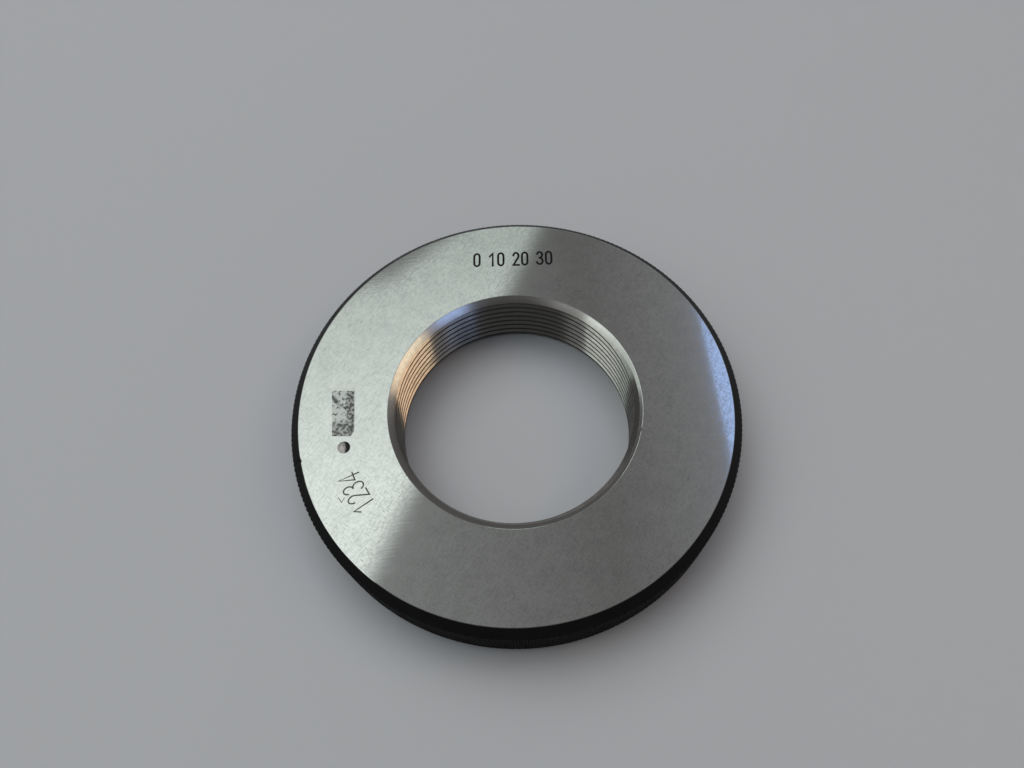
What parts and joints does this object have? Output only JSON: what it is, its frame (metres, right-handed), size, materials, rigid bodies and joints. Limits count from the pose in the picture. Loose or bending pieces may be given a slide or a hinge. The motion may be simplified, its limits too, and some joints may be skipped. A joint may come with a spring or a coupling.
{
  "type": "thread ring gauge",
  "caption": "Round go ring gauge of ground steel with a fine internal thread, flat faces, chamfered black knurled rim and a small dimple beside the bore.",
  "frame": {"origin": "middle of the lower face, on the thread's axis", "axes": "+Z along the thread's axis, from the face it rests on towards the marked face"},
  "size_m": [0.1, 0.1, 0.016],
  "materials": {
    "ground_steel": "ground and lapped, with a black oxide rim"
  },
  "bodies": {
    "root": {"gauge_ring": "ground_steel"}
  },
  "joints": []
}
